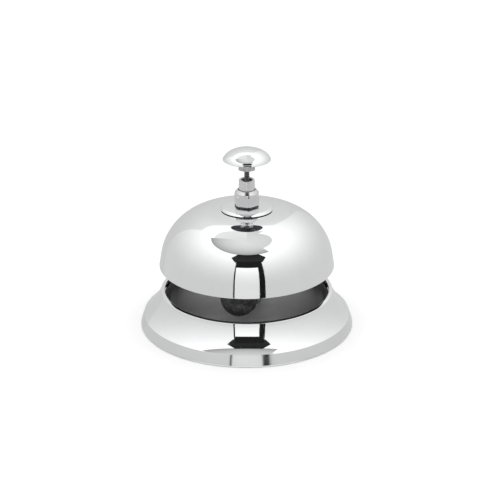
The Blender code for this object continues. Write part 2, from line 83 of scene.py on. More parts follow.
CLAMP_COLLAR = 4.75 * MM
CLAMP_COLLAR_HEIGHT = 2.0 * MM
BUTTON_NUT_FLATS = 6.5 * MM
PLAIN_NUT_FLATS = 9.0 * MM
THREAD_PITCH = 0.7 * MM
THREAD_DEPTH = 0.2 * MM
BUTTON_RIM_RISE = 1.1 * MM  # the button's edge above its boss
SPRING_TURNS = 7
SPRING_WIRE = 0.18 * MM  # radius of the wire
FOOT_HOLE = 1.9 * MM
EAR_WIDTH = 3.3 * MM
EAR_HEIGHT = 3.4 * MM
LEVER_THICKNESS = 2.0 * MM
PIN_HOLE = 1.3 * MM
RIVET_HOLE = 1.2 * MM
HAMMER_REACH = (19.5 * MM, 27.0 * MM, 30.6 * MM)  # back, shoulder and nose, from the centre line
HAMMER_RIVET_REACH = 23.2 * MM
CAST_ROUGHNESS = 0.22 * MM

STUDIO_CENTRE = Vector((0.0, 0.0, 0.03))
TABLE_SIDE = -12.0  # degrees; cards keep one brightness below this elevation
CAMERA_TARGET = Vector((0.0, 0.0, 0.035))
CAMERA_DISTANCE = 0.7
CAMERA_ELEVATION = radians(22.21)
CAMERA_LENS = 127.1  # millimetres, on a sensor 36 wide
CAMERA_SHIFT = (0.0064, -0.0176)

# Steps round a turned piece
LARGE = 288
MIDDLE = 160
SMALL = 96


# --- Where things are ---------------------------------------------------------------------------


def bottom(node):
    """Lowest height of a CAD node."""
    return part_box(node)[0].z


def top(node):
    """Highest height of a CAD node."""
    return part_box(node)[1].z


def reach(node):
    """Outer radius of a CAD node turned about the centre line."""
    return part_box(node)[1].x


BODIES = frame["record"]["behaviour"]["bodies"]
JOINTS = {joint["name"]: joint for joint in frame["record"]["behaviour"]["joints"]}
SWING = JOINTS["striker_swing"]
PIVOT = Vector(SWING["pos_m"])
STRIKER_TURN = atan2(-SWING["axis"][1], -SWING["axis"][0])  # the lever's turn about Z
PIVOT_REACH = hypot(PIVOT.x, PIVOT.y)
RIVET_BACK = PIVOT_REACH - HAMMER_RIVET_REACH  # from the pivot towards the post
STRIKER_FRAME = Matrix.Translation(PIVOT) @ Matrix.Rotation(STRIKER_TURN, 4, "Z")


def body_of(node):
    """Name of the moving body that a CAD node belongs to."""
    return next(body for body, nodes in BODIES.items() if node in nodes)


# --- Outlines -----------------------------------------------------------------------------------


def arc(centre, radius, start, end, count):
    """Points on a circle between two angles in degrees, both ends included."""
    angles = [radians(start + (end - start) * i / (count - 1)) for i in range(count)]
    return [(centre[0] + radius * cos(a), centre[1] + radius * sin(a)) for a in angles]


def arc_between(first, last, radius, count):
    """A circular arc from one point down to another, hollow on the outside."""
    chord_r, chord_z = last[0] - first[0], last[1] - first[1]
    half = hypot(chord_r, chord_z) / 2
    rise = (radius**2 - half**2) ** 0.5
    centre = (
        (first[0] + last[0]) / 2 - chord_z / (2 * half) * rise,
        (first[1] + last[1]) / 2 + chord_r / (2 * half) * rise,
    )
    start = degrees(atan2(first[1] - centre[1], first[0] - centre[0]))
    end = degrees(atan2(last[1] - centre[1], last[0] - centre[0]))
    if end < start:
        end += 360
    return arc(centre, radius, start, end, count)


def rounded(corners, closed=True, steps=5):
    """An outline in which each (radius, height, fillet) corner becomes an arc of that fillet."""
    outline = []
    count = len(corners)
    for i, corner in enumerate(corners):
        here = Vector(corner[:2])
        fillet = corner[2] if len(corner) > 2 else 0.0
        at_end = not closed and i in (0, count - 1)
        if fillet <= 0.0 or at_end:
            outline.append(tuple(here))
            continue
        before = Vector(corners[i - 1][:2]) - here
        after = Vector(corners[(i + 1) % count][:2]) - here
        half_angle = before.angle(after) / 2
        cut = min(fillet / tan(half_angle), 0.49 * before.length, 0.49 * after.length)
        first = here + before.normalized() * cut
        last = here + after.normalized() * cut
        middle = (before.normalized() + after.normalized()).normalized()
        centre = here + middle * (cut / cos(half_angle))
        radius = (first - centre).length
        for k in range(steps + 1):
            spoke = (first - centre).slerp(last - centre, k / steps)
            outline.append(tuple(centre + radius * spoke))
    return outline


def resampled(outline, longest, closed=True):
    """The outline with its long edges split, so that a shape laid over it is smooth."""
    dense = []
    count = len(outline)
    for i in range(count if closed else count - 1):
        first = Vector(outline[i])
        last = Vector(outline[(i + 1) % count])
        pieces = max(1, ceil((last - first).length / longest))
        dense += [tuple(first.lerp(last, k / pieces)) for k in range(pieces)]
    if not closed:
        dense.append(outline[-1])
    return dense


def plate(inner, outer, low, high, fillet):
    """Outline of a washer or collar."""
    return rounded(
        [(outer, high, fillet), (outer, low, fillet), (inner, low, fillet), (inner, high, fillet)]
    )


# --- Meshes -------------------------------------------------------------------------------------


def lathe(outline, steps, closed=True, shape=None):
    """The outline turned about Z. shape(radius, height, angle) may change the radius."""
    mesh = bmesh.new()
    spokes = []
    for i in range(steps):
        angle = 2 * pi * i / steps
        spoke = []
        for radius, height in outline:
            if shape:
                radius = shape(radius, height, angle)
            spoke.append(mesh.verts.new((radius * cos(angle), radius * sin(angle), height)))
        spokes.append(spoke)
    count = len(outline)
    for i, spoke in enumerate(spokes):
        following = spokes[(i + 1) % steps]
        for k in range(count if closed else count - 1):
            n = (k + 1) % count
            mesh.faces.new((spoke[k], spoke[n], following[n], following[k]))
    bmesh.ops.remove_doubles(mesh, verts=mesh.verts, dist=1e-7)
    bmesh.ops.recalc_face_normals(mesh, faces=mesh.faces)
    return mesh


def soft_min(first, second, blend):
    """The smaller of two values, rounded over where they cross."""
    overlap = max(blend - abs(first - second), 0.0) / blend
    return min(first, second) - overlap * overlap * blend / 4


def hexagon(flats, turn=0.0, blend=0.12 * MM):
    """Shape for lathe(): nothing reaches past a hexagon of that size across its flats."""

    def limit(radius, _height, angle):
        off_flat = (angle - turn + radians(30)) % radians(60) - radians(30)
        return soft_min(radius, flats / 2 / cos(off_flat), blend)

    return limit


def thread(surface, from_height, to_height):
    """Shape for lathe(): a V thread in a rod of that radius, between two heights."""

    def cut(radius, height, angle):
        run_out = min(height - from_height, to_height - height) / THREAD_PITCH
        if run_out <= 0 or radius < surface - 0.01 * MM:
            return radius
        phase = (height / THREAD_PITCH - angle / (2 * pi)) % 1.0
        depth = THREAD_DEPTH * (1 - abs(2 * phase - 1)) * min(1.0, run_out)
        return radius - min(depth, 0.85 * THREAD_DEPTH)

    return cut


def box_mesh(low, high):
    """A block between two corners, used to cut or join."""
    mesh = bmesh.new()
    bmesh.ops.create_cube(mesh, size=1.0)
    low, high = Vector(low), Vector(high)
    bmesh.ops.scale(mesh, vec=high - low, verts=mesh.verts)
    bmesh.ops.translate(mesh, vec=(high + low) / 2, verts=mesh.verts)
    return mesh


def loose_object(name, mesh, place=None):
    """An object from a bmesh, which is moved to its place first, so its origin stays at zero."""
    data = bpy.data.meshes.new(name)
    if place is not None:
        mesh.transform(place)
    mesh.to_mesh(data)
    mesh.free()
    made = bpy.data.objects.new(name, data)
    bpy.context.scene.collection.objects.link(made)
    return made


def applied(made):
    """Turns an object's modifiers into its mesh."""
    bpy.context.view_layer.update()
    seen = made.evaluated_get(bpy.context.evaluated_depsgraph_get())
    data = bpy.data.meshes.new_from_object(seen)
    made.modifiers.clear()
    made.data = data
    return made


def carve(target, cutters, operation="DIFFERENCE"):
    """Cuts away or joins on other objects, which are used up."""
    for other in cutters:
        modifier = target.modifiers.new("carve", "BOOLEAN")
        modifier.operation = operation
        modifier.solver = "EXACT"
        modifier.object = other
    applied(target)
    for other in cutters:
        bpy.data.objects.remove(other, do_unlink=True)
    return target


def soften(target, width, angle=35.0, segments=2):
    """Rounds the edges of a carved mesh."""
    modifier = target.modifiers.new("edges", "BEVEL")
    modifier.width = width
    modifier.segments = segments
    modifier.limit_method = "ANGLE"
    modifier.angle_limit = radians(angle)
    modifier.use_clamp_overlap = True
    return applied(target)


def stand_in(made, node, slot, finish=None):
    """Makes an object the visible form of a CAD node."""
    made.name = node + "_fine"
    made.data.name = made.name
    made.data.shade_smooth()
    made.data.set_sharp_from_angle(angle=radians(32))
    made.data.materials.clear()
    made.data.materials.append(finish or FINISHES[slot])
    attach(made, body_of(node))
    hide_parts(node)
    return made


def refinish(made, finish, chosen):
    """Gives the faces that chosen(face) picks a second finish."""
    made.data.materials.append(finish)
    last = len(made.data.materials) - 1
    for face in made.data.polygons:
        if chosen(face):
            face.material_index = last


def turned_piece(node, slot, outline, steps, closed=True, shape=None, finish=None):
    """A piece turned about the centre line, in place of its CAD node."""
    made = loose_object(node, lathe(outline, steps, closed, shape))
    return stand_in(made, node, slot, finish)


# --- Finishes -----------------------------------------------------------------------------------


def add(tree, kind, inputs=None, **settings):
    """A node with its settings. An input that is another node's socket is linked."""
    made = tree.nodes.new(kind)
    for key, value in settings.items():
        setattr(made, key, value)
    for key, value in (inputs or {}).items():
        if isinstance(value, bpy.types.NodeSocket):
            tree.links.new(value, made.inputs[key])
        else:
            made.inputs[key].default_value = value
    return made


def new_finish(name, metallic):
    """A material, its node tree, its shader, and the place in metres that textures start from."""
    made = bpy.data.materials.new(name)
    made.use_nodes = True
    tree = made.node_tree
    shader = tree.nodes["Principled BSDF"]
    shader.inputs["Metallic"].default_value = metallic
    place = add(tree, "ShaderNodeTexCoord").outputs["Object"]
    return made, tree, shader, place


def spread(tree, source, low, high, from_low=0.3, from_high=0.7):
    """Maps a texture's middle range onto values between low and high."""
    values = {"Value": source, "From Min": from_low, "From Max": from_high}
    values.update({"To Min": low, "To Max": high})
    return add(tree, "ShaderNodeMapRange", values, clamp=True).outputs["Result"]


def cloud(tree, place, scale, detail=3.0):
    """Soft noise between 0 and 1."""
    values = {"Vector": place, "Scale": scale, "Detail": detail, "Roughness": 0.6}
    return add(tree, "ShaderNodeTexNoise", values).outputs["Fac"]


def scratches(tree, place, turn, density, thin=0.015):
    """Sparse hair lines in one direction, 1 on a line and 0 beside it."""
    values = {"Vector": place, "Rotation": turn, "Scale": (density, density * 0.02, density * 0.02)}
    laid = add(tree, "ShaderNodeMapping", values).outputs["Vector"]
    lines = cloud(tree, laid, 1.0, 2.0)
    return spread(tree, lines, 0.0, 1.0, 0.66, 0.66 + thin)


def combine(tree, operation, first, second):
    """One sum on two values, such as ADD or MAXIMUM."""
    return add(tree, "ShaderNodeMath", {0: first, 1: second}, operation=operation).outputs[0]


def weighted(tree, first, first_part, second, second_part):
    """Sum of two textures, each in its part."""
    parts = [combine(tree, "MULTIPLY", *pair) for pair in ((first, first_part), (second, second_part))]
    return combine(tree, "ADD", *parts)


def edge_wear(tree):
    """0 on open surfaces, 1 along convex edges."""
    bend = add(tree, "ShaderNodeNewGeometry").outputs["Pointiness"]
    return spread(tree, bend, 0.0, 1.0, 0.52, 0.62)


def shade_between(tree, factor, first, second):
    """Colour between two, each an RGB triple or another node's colour."""
    colours = [c if isinstance(c, bpy.types.NodeSocket) else (*c, 1.0) for c in (first, second)]
    # a Mix node's colour sockets are its seventh and eighth inputs and its third output
    values = {0: factor, 6: colours[0], 7: colours[1]}
    return add(tree, "ShaderNodeMix", values, data_type="RGBA").outputs[2]


def from_axis(tree, place):
    """Distance from the vertical axis."""
    flat = add(tree, "ShaderNodeVectorMath", {0: place, 1: (1.0, 1.0, 0.0)}, operation="MULTIPLY")
    return add(tree, "ShaderNodeVectorMath", {0: flat.outputs[0]}, operation="LENGTH").outputs["Value"]


def relief(tree, height, strength, depth):
    """Fine bumps of a given depth in metres."""
    values = {"Height": height, "Strength": strength, "Distance": depth}
    return add(tree, "ShaderNodeBump", values).outputs["Normal"]


def rings_about_axis(tree, place, pitch):
    """Fine lines left by turning: a noise that changes only with distance from the centre line."""
    away = from_axis(tree, place)
    values = {"W": away, "Scale": 1.0 / pitch, "Detail": 4.0, "Roughness": 0.7}
    return add(tree, "ShaderNodeTexNoise", values, noise_dimensions="1D").outputs["Fac"]


def lines_by_height(tree, place, pitch):
    """Fine level lines round a turned or rolled side."""
    parts = add(tree, "ShaderNodeSeparateXYZ", {"Vector": place})
    values = {"W": parts.outputs["Z"], "Scale": 1.0 / pitch, "Detail": 3.0, "Roughness": 0.6}
    return add(tree, "ShaderNodeTexNoise", values, noise_dimensions="1D").outputs["Fac"]


def chrome_finish(name, haze, lines, colour=(0.92, 0.925, 0.93)):
    """Mirror plate: polishing lines, hair scratches, faint handling haze, and worn edges."""
    made, tree, shader, place = new_finish(name, 1.0)
    handled = spread(tree, cloud(tree, place, 60.0), haze, haze * 2.2, 0.35, 0.7)
    first = scratches(tree, place, (0.3, 0.9, 0.4), 2600.0)
    second = scratches(tree, place, (1.2, 0.2, 2.1), 3100.0)
    marks = combine(tree, "MAXIMUM", first, second)
    worn = edge_wear(tree)
    faded = combine(tree, "MULTIPLY", marks, 0.07)
    rubbed = combine(tree, "MULTIPLY", worn, 0.08)
    rough = combine(tree, "ADD", combine(tree, "ADD", handled, faded), rubbed)
    tree.links.new(rough, shader.inputs["Roughness"])
    darker = tuple(0.93 * c for c in colour)
    patchy = combine(tree, "MAXIMUM", spread(tree, cloud(tree, place, 140.0), 0.0, 0.35), worn)
    tree.links.new(shade_between(tree, patchy, colour, darker), shader.inputs["Base Color"])
    polish = lines_by_height(tree, place, 0.22 * MM)
    height = combine(tree, "SUBTRACT", combine(tree, "MULTIPLY", polish, lines), marks)
    tree.links.new(relief(tree, height, 0.08, 0.002 * MM), shader.inputs["Normal"])
    return made


def satin_finish(name, colour, roughness, pitch):
    """Turned steel with concentric tool lines, a stained surface, and painted shade towards its sides.

    The pan's own left and right, and the corner at its wall, are the darkest: painted shade standing in
    for the shadow under the dome.
    """
    made, tree, shader, place = new_finish(name, 0.5)
    rings = rings_about_axis(tree, place, pitch)
    stain = cloud(tree, place, 90.0, 5.0)
    both = weighted(tree, rings, 0.5, stain, 0.5)
    tree.links.new(spread(tree, both, roughness * 0.8, roughness * 1.3), shader.inputs["Roughness"])
    dark = tuple(0.62 * c for c in colour)
    # painted shade: darker towards the pan's left and right and in the corner at its wall, where the dome
    # shades it
    across = add(tree, "ShaderNodeSeparateXYZ", {"Vector": place}).outputs["X"]
    corner = PAN_FLOOR_RADIUS - 1.0 * MM
    aside = combine(tree, "ABSOLUTE", across, 0.0)
    aside = spread(tree, aside, 0.0, 1.0, 11.0 * MM, 28.0 * MM)
    outward = spread(tree, from_axis(tree, place), 0.0, 1.0, corner - 0.6 * MM, corner)
    dull = combine(tree, "MAXIMUM", aside, outward)
    body = shade_between(tree, spread(tree, both, 0.0, 1.0), dark, colour)
    # the colour of the painted shade, laid over the steel where the mask above is high
    painted_shade_colour = tuple(0.05 * c for c in colour)
    tree.links.new(shade_between(tree, dull, body, painted_shade_colour), shader.inputs["Base Color"])
    grain = cloud(tree, place, 4200.0, 2.0)
    height = combine(tree, "ADD", rings, combine(tree, "MULTIPLY", grain, 0.6))
    tree.links.new(relief(tree, height, 0.5, 0.02 * MM), shader.inputs["Normal"])
    return made


def plated_finish(name, colour, roughness):
    """Zinc or blackened steel: crystalline patches, fine pits and bright rubbed edges."""
    made, tree, shader, place = new_finish(name, 1.0)
    cells = add(tree, "ShaderNodeTexVoronoi", {"Vector": place, "Scale": 900.0}).outputs["Distance"]
    clouds = cloud(tree, place, 260.0, 4.0)
    mixed = weighted(tree, cells, 0.5, clouds, 0.6)
    tree.links.new(spread(tree, mixed, roughness * 0.75, roughness * 1.35), shader.inputs["Roughness"])
    dark = tuple(0.7 * c for c in colour)
    bright = tuple(min(1.0, 1.35 * c + 0.04) for c in colour)
    body = shade_between(tree, spread(tree, mixed, 0.0, 1.0), dark, colour)
    rubbed = shade_between(tree, edge_wear(tree), body, bright)
    tree.links.new(rubbed, shader.inputs["Base Color"])
    pits = cloud(tree, place, 2600.0, 3.0)
    tree.links.new(relief(tree, pits, 0.35, 0.015 * MM), shader.inputs["Normal"])
    return made


def cast_finish(name, colour):
    """Rough black casting: sandy grain, dull hollows, and high spots lightened partly by dust and partly
    by a painted highlight.
    """
    made, tree, shader, place = new_finish(name, 0.55)
    sand = cloud(tree, place, 1500.0, 6.0)
    lumps = cloud(tree, place, 420.0, 3.0)
    both = weighted(tree, sand, 0.6, lumps, 0.4)
    # the lighter colour on the high spots of the relief is dust and a painted highlight
    light = tuple(4.5 * c + 0.06 for c in colour)
    dust_and_painted_highlight = shade_between(tree, spread(tree, both, 0.0, 1.0, 0.42, 0.66), colour, light)
    tree.links.new(dust_and_painted_highlight, shader.inputs["Base Color"])
    tree.links.new(spread(tree, sand, 0.42, 0.8), shader.inputs["Roughness"])
    tree.links.new(relief(tree, both, 0.9, 0.12 * MM), shader.inputs["Normal"])
    return made


def dull_finish(name, colour, roughness, grain_size, depth):
    """Fibre or rubber: matt, with a fine grain."""
    made, tree, shader, place = new_finish(name, 0.0)
    grain = cloud(tree, place, 1.0 / grain_size, 4.0)
    worn = edge_wear(tree)
    light = tuple(1.8 * c + 0.02 for c in colour)
    patch = combine(tree, "MAXIMUM", spread(tree, grain, 0.0, 0.6), worn)
    tree.links.new(shade_between(tree, patch, colour, light), shader.inputs["Base Color"])
    rough = spread(tree, grain, roughness * 0.85, min(1.0, roughness * 1.15))
    tree.links.new(rough, shader.inputs["Roughness"])
    tree.links.new(relief(tree, grain, 0.5, depth), shader.inputs["Normal"])
    return made


FINISHES = {
    "chrome": chrome_finish("chrome", 0.02, 0.5),
    "satin_steel": satin_finish("satin_steel", (0.86, 0.86, 0.87), 0.36, 0.18 * MM),
    "zinc_steel": plated_finish("zinc_steel", (0.58, 0.58, 0.59), 0.3),
    "dark_steel": plated_finish("dark_steel", (0.09, 0.09, 0.1), 0.34),
    "cast_iron": cast_finish("cast_iron", (0.010, 0.010, 0.011)),
    "fibre": dull_finish("fibre", (0.045, 0.04, 0.038), 0.8, 0.5 * MM, 0.02 * MM),
    "rubber": dull_finish("rubber", (0.02, 0.02, 0.021), 0.7, 0.35 * MM, 0.015 * MM),
}
NUT_CHROME = chrome_finish("nut_chrome", 0.1, 2.0, (0.76, 0.76, 0.77))
ROD_STEEL = plated_finish("rod_steel", (0.16, 0.16, 0.17), 0.26)
STEM_CHROME = chrome_finish("stem_chrome", 0.2, 1.0, (0.8, 0.8, 0.81))
BAND_CHROME = chrome_finish("band_chrome", 0.07, 6.0, (0.84, 0.845, 0.85))
INNER_STEEL = plated_finish("inner_steel", (0.16, 0.16, 0.165), 0.42)


# --- The outer pieces ---------------------------------------------------------------------------


def base_shell():
    """Spun shell: flattened roll, hollow flare, crisp break and a band that leans in."""
    radius, foot, crest = reach("base_shell"), bottom("base_shell"), top("base_shell")
    flare_top = (ROLL_RADIUS + 0.86 * MM, crest - 1.55 * MM)
    flare = arc_between(flare_top, (BAND_TOP_RADIUS, BAND_TOP), FLARE_ARC_RADIUS, 48)
    inner = [(r - 0.85 * SHELL_WALL, z - 0.5 * SHELL_WALL) for r, z in reversed(flare[4:-4])]
    corners = [
        (ROLL_RADIUS - 0.9 * MM, crest - 1.3 * MM, 0.3 * MM),
        (ROLL_RADIUS - 0.9 * MM, crest - 0.05 * MM, 0.35 * MM),
        (ROLL_RADIUS + 0.55 * MM, crest - 0.45 * MM, 0.3 * MM),
    ]
    corners += flare[:-1]
    corners += [
        (BAND_TOP_RADIUS, BAND_TOP, 0.14 * MM),
        (radius - 0.06 * MM, foot + 0.75 * MM, 0.25 * MM),
        (radius, foot + 0.45 * MM, 0.2 * MM),
        (radius - 0.2 * MM, foot, 0.12 * MM),
        (radius - SHELL_WALL - 0.2 * MM, foot, 0.3 * MM),
        (BAND_TOP_RADIUS - SHELL_WALL - 0.2 * MM, BAND_TOP - 0.75 * MM, 0.3 * MM),
    ]
    corners += inner + [(ROLL_RADIUS - 0.1 * MM, crest - 2.15 * MM)]
    shell = turned_piece("base_shell", "chrome", rounded(corners), LARGE)

    def on_band(face):
        return face.center.z < BAND_TOP - 0.1 * MM and abs(face.normal.z) < 0.6

    refinish(shell, BAND_CHROME, on_band)


def mechanism_pan():
    """Satin dish with a soft corner and a lip crimped under the bead."""
    low, lip = bottom("mechanism_pan"), top("mechanism_pan")
    floor = low + SHELL_WALL
    outline = rounded(
        [
            (32.1 * MM, lip, 0.2 * MM),
            (32.9 * MM, lip - 0.2 * MM, 0.2 * MM),
            (PAN_FLOOR_RADIUS + SHELL_WALL, floor - 0.2 * MM, 0.6 * MM),
            (PAN_FLOOR_RADIUS + 0.4 * MM, low, 0.4 * MM),
            (3.3 * MM, low),
            (3.3 * MM, floor),
            (PAN_FLOOR_RADIUS - 0.3 * MM, floor, 0.5 * MM),
        ]
    )
    turned_piece("mechanism_pan", "satin_steel", resampled(outline, 2.0 * MM), LARGE)


def dome_side(inset):
    """One side of the dome from the hole to the skirt, a given way in from the outer side."""
    shoulder_r = BELL_RADIUS - BELL_SHOULDER_ARC
    drop = ((BELL_CROWN_ARC - BELL_SHOULDER_ARC) ** 2 - shoulder_r**2) ** 0.5
    meeting = 90 - degrees(atan2(shoulder_r, drop))
    hole_angle = 90 - degrees(POST_CLEARANCE / (BELL_CROWN_ARC - inset))
    crown = arc((0.0, BELL_WAIST - drop), BELL_CROWN_ARC - inset, hole_angle, meeting, 20)
    shoulder = arc((shoulder_r, BELL_WAIST), BELL_SHOULDER_ARC - inset, meeting, 8, 72)
    return crown[:-1] + shoulder


def bell_dome():
    """Pressed dome: shallow crown, round shoulder, flared skirt and a rolled, polished rim."""
    rim_radius, rim = reach("bell_dome"), bottom("bell_dome")
    edge = [
        (rim_radius, rim + 0.1 * MM, 0.25 * MM),
        (rim_radius - BELL_WALL, rim, 0.5 * MM),
    ]
    corners = dome_side(0.0) + edge + list(reversed(dome_side(BELL_WALL)))
    dome = turned_piece("bell_dome", "chrome", resampled(rounded(corners), 1.5 * MM), LARGE)

    def inside(face):
        outward = Vector((face.center.x, face.center.y, face.center.z - BELL_WAIST))
        return face.normal.dot(outward) < 0 or (face.normal.z < -0.7 and face.center.z < rim + 0.05 * MM)

    refinish(dome, INNER_STEEL, inside)


def domed_washer():
    """Polished cup washer: a shallow dome with a turned-down lip that presses on the crown."""
    radius, crown, lip = reach("domed_washer"), top("domed_washer"), bottom("domed_washer")
    corners = [
        (POST_CLEARANCE, crown - 0.75 * MM),
        (POST_CLEARANCE, crown, 0.1 * MM),
        (4.9 * MM, crown),
        (7.4 * MM, crown - 0.07 * MM, 8.0 * MM),
        (radius - 0.75 * MM, crown - 0.24 * MM, 0.5 * MM),
        (radius - 0.12 * MM, lip + 0.16 * MM, 0.25 * MM),
        (radius, lip, 0.05 * MM),
        (radius - 0.9 * MM, lip + 0.1 * MM, 0.2 * MM),
        (8.4 * MM, crown - 0.95 * MM, 0.4 * MM),
    ]
    turned_piece("domed_washer", "chrome", rounded(corners), MIDDLE)


def lock_washer():
    """Thin dark ring, almost hidden by the nut."""
    low, high = bottom("lock_washer"), top("lock_washer")
    outline = plate(POST_CLEARANCE, reach("lock_washer") - 0.3 * MM, low, high, 0.12 * MM)
    turned_piece("lock_washer", "dark_steel", outline, SMALL, finish=ROD_STEEL)


def clamp_nut():
    """Hex nut under a round, coned collar."""
    low, high = bottom("clamp_nut"), top("clamp_nut")
    shoulder = high - CLAMP_COLLAR_HEIGHT
    corner = CLAMP_FLATS / 2 / cos(radians(30))
    bore = 3.4 * MM
    outline = rounded(
        [
            (bore, high, 0.1 * MM),
            (3.8 * MM, high, 0.25 * MM),
            (CLAMP_COLLAR, high - 1.25 * MM, 0.35 * MM),
            (CLAMP_COLLAR, shoulder + 0.03 * MM, 0.1 * MM),
            (CLAMP_COLLAR - 0.1 * MM, shoulder, 0.05 * MM),
            (corner + 0.1 * MM, shoulder - 0.4 * MM, 0.1 * MM),
            (corner + 0.1 * MM, low + 0.35 * MM, 0.2 * MM),
            (corner - 0.35 * MM, low, 0.1 * MM),
            (bore, low, 0.1 * MM),
        ]
    )
    hexed = hexagon(CLAMP_FLATS, CLAMP_TURN + radians(30))

    def shape(radius, height, angle):
        return hexed(radius, height, angle) if height < shoulder - 0.01 * MM else radius

    turned_piece("clamp_nut", "chrome", resampled(outline, 0.12 * MM), 240, shape=shape, finish=NUT_CHROME)


def post_tube():
    """Hollow post with a rounded lip."""
    radius, low, high = reach("post_tube"), bottom("post_tube"), top("post_tube")
    corners = [(radius, high, 0.3 * MM), (radius, low, 0.2 * MM)]
    corners += [(POST_BORE, low, 0.2 * MM), (POST_BORE, high, 0.3 * MM)]
    turned_piece("post_tube", "chrome", resampled(rounded(corners), 1.0 * MM), SMALL, finish=STEM_CHROME)


def push_button():
    """Domed cap, flatter on top than at its sides: thin edge, dull hollow underside, rod boss."""
    radius, crown, low = reach("push_button"), top("push_button"), bottom("push_button")
    rim = low + BUTTON_RIM_RISE
    lowest = radians(15)  # the crown is an ellipse cut off at this angle
    across = (radius - 0.15 * MM) / cos(lowest)
    rise = (crown - rim) / (1 - sin(lowest))
    angles = [pi / 2 - (pi / 2 - lowest) * i / 48 for i in range(1, 49)]
    corners = [(0.0, crown)]
    corners += [(across * cos(a), crown - rise + rise * sin(a)) for a in angles]
    corners += [
        (radius, rim - 0.3 * MM, 0.12 * MM),
        (radius - 0.4 * MM, rim - 0.5 * MM, 0.15 * MM),
        (5.6 * MM, low + 0.25 * MM, 0.6 * MM),
        (4.2 * MM, low, 0.2 * MM),
        (ROD_CLEARANCE, low, 0.1 * MM),
        (ROD_CLEARANCE, low + 3.0 * MM),
        (0.0, low + 3.0 * MM),
    ]
    button = turned_piece("push_button", "chrome", rounded(corners, closed=False), MIDDLE, closed=False)

    def under(face):
        return face.normal.z < -0.3 and hypot(face.center.x, face.center.y) < radius - 0.2 * MM

    refinish(button, FINISHES["dark_steel"], under)


def hex_nut(node, slot, flats, bore, chamfer):
    """Plain nut, chamfered on both faces."""
    low, high = bottom(node), top(node)
    corner = flats / 2 / cos(radians(30))
    rise = 0.6 * chamfer
    outline = rounded(
        [
            (bore, high, 0.1 * MM),
            (corner - chamfer, high, 0.05 * MM),
            (corner + 0.05 * MM, high - rise, 0.1 * MM),
            (corner + 0.05 * MM, low + rise, 0.1 * MM),
            (corner - chamfer, low, 0.05 * MM),
            (bore, low, 0.1 * MM),
        ]
    )
    shape = hexagon(flats, blend=0.08 * MM)
    turned_piece(node, slot, resampled(outline, 0.1 * MM), 192, shape=shape)


def plunger_rod():
    """Rod with a round tip and two clip grooves, threaded where it shows above the post."""
    radius, low, high = reach("plunger_rod"), bottom("plunger_rod"), top("plunger_rod")
    corners = [(0.0, high), (radius, high, 0.1 * MM)]
    for clip in ("spring_clip", "stop_clip"):
        above, below = top(clip) + 0.15 * MM, bottom(clip) - 0.15 * MM
        corners += [(radius, above), (ROD_GROOVE, above), (ROD_GROOVE, below), (radius, below)]
    corners += arc((0.0, low + radius), radius, 0, -90, 12)[:-1] + [(0.0, low)]
    outline = resampled(rounded(corners, closed=False), 0.06 * MM, closed=False)
    shape = thread(radius, top("spring_clip") + 1.0 * MM, high)
    turned_piece("plunger_rod", "dark_steel", outline, 48, closed=False, shape=shape, finish=ROD_STEEL)


# --- The inner pieces ---------------------------------------------------------------------------


def small_rings():
    """Spacer, washers and snap rings: flat rings with broken edges."""
    for node, slot, inner, fillet in (
        ("base_spacer", "zinc_steel", STUD_CLEARANCE, 0.15 * MM),
        ("base_washer", "zinc_steel", STUD_CLEARANCE, 0.12 * MM),
        ("seat_washer", "fibre", POST_CLEARANCE, 0.1 * MM),
        ("guide_bush", "zinc_steel", ROD_CLEARANCE, 0.12 * MM),
        ("spring_clip", "zinc_steel", CLIP_BORE, 0.1 * MM),
        ("stop_clip", "zinc_steel", CLIP_BORE, 0.1 * MM),
    ):
        outline = plate(inner, reach(node), bottom(node), top(node), fillet)
        turned_piece(node, slot, outline, SMALL)


def bell_seat():
    """Turned collar on the post that carries the dome."""
    wide, low, high = reach("bell_seat"), bottom("bell_seat"), top("bell_seat")
    neck = 4.8 * MM
    outline = rounded(
        [
            (wide, high, 0.15 * MM),
            (wide, high - 1.2 * MM, 0.25 * MM),
            (neck, high - 1.4 * MM, 0.5 * MM),
            (neck, low, 0.25 * MM),
            (POST_CLEARANCE, low, 0.15 * MM),
            (POST_CLEARANCE, high, 0.15 * MM),
        ]
    )
    turned_piece("bell_seat", "zinc_steel", outline, SMALL)


def cylinder(name, radius, low, high, place=None, steps=64):
    """A plain pin used to cut holes."""
    outline = [(0.0, high), (radius, high), (radius, low), (0.0, low)]
    return loose_object(name, lathe(outline, steps, closed=False), place)


def bottom_cover():
    """Steel disc with a raised middle, a stiffening crease and a hole for each foot."""
    rim, low = reach("bottom_cover"), bottom("bottom_cover")
    dish, wall = top("bottom_cover") - low - 1.0 * MM, 1.0 * MM
    outline = rounded(
        [
            (rim, low + wall, 0.3 * MM),
            (rim, low, 0.3 * MM),
            (13.5 * MM, low, 0.9 * MM),
            (11.0 * MM, low + dish, 0.9 * MM),
            (3.3 * MM, low + dish, 0.1 * MM),
            (3.3 * MM, low + dish + wall, 0.1 * MM),
            (11.5 * MM, low + dish + wall, 1.2 * MM),
            (14.0 * MM, low + wall, 1.2 * MM),
        ]
    )
    cover = loose_object("bottom_cover", lathe(resampled(outline, 3.0 * MM), MIDDLE))
    holes = []
    for i in range(1, 5):
        place = Matrix.Translation(foot_centre(i))
        holes.append(cylinder(f"hole_{i}", FOOT_HOLE, low - 2.0 * MM, low + 3.0 * MM, place))
    carve(cover, holes)
    stand_in(cover, "bottom_cover", "zinc_steel")


def foot_centre(number):
    """Where a foot stands, at table height."""
    low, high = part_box(f"rubber_foot_{number}")
    return Vector(((low.x + high.x) / 2, (low.y + high.y) / 2, 0.0))


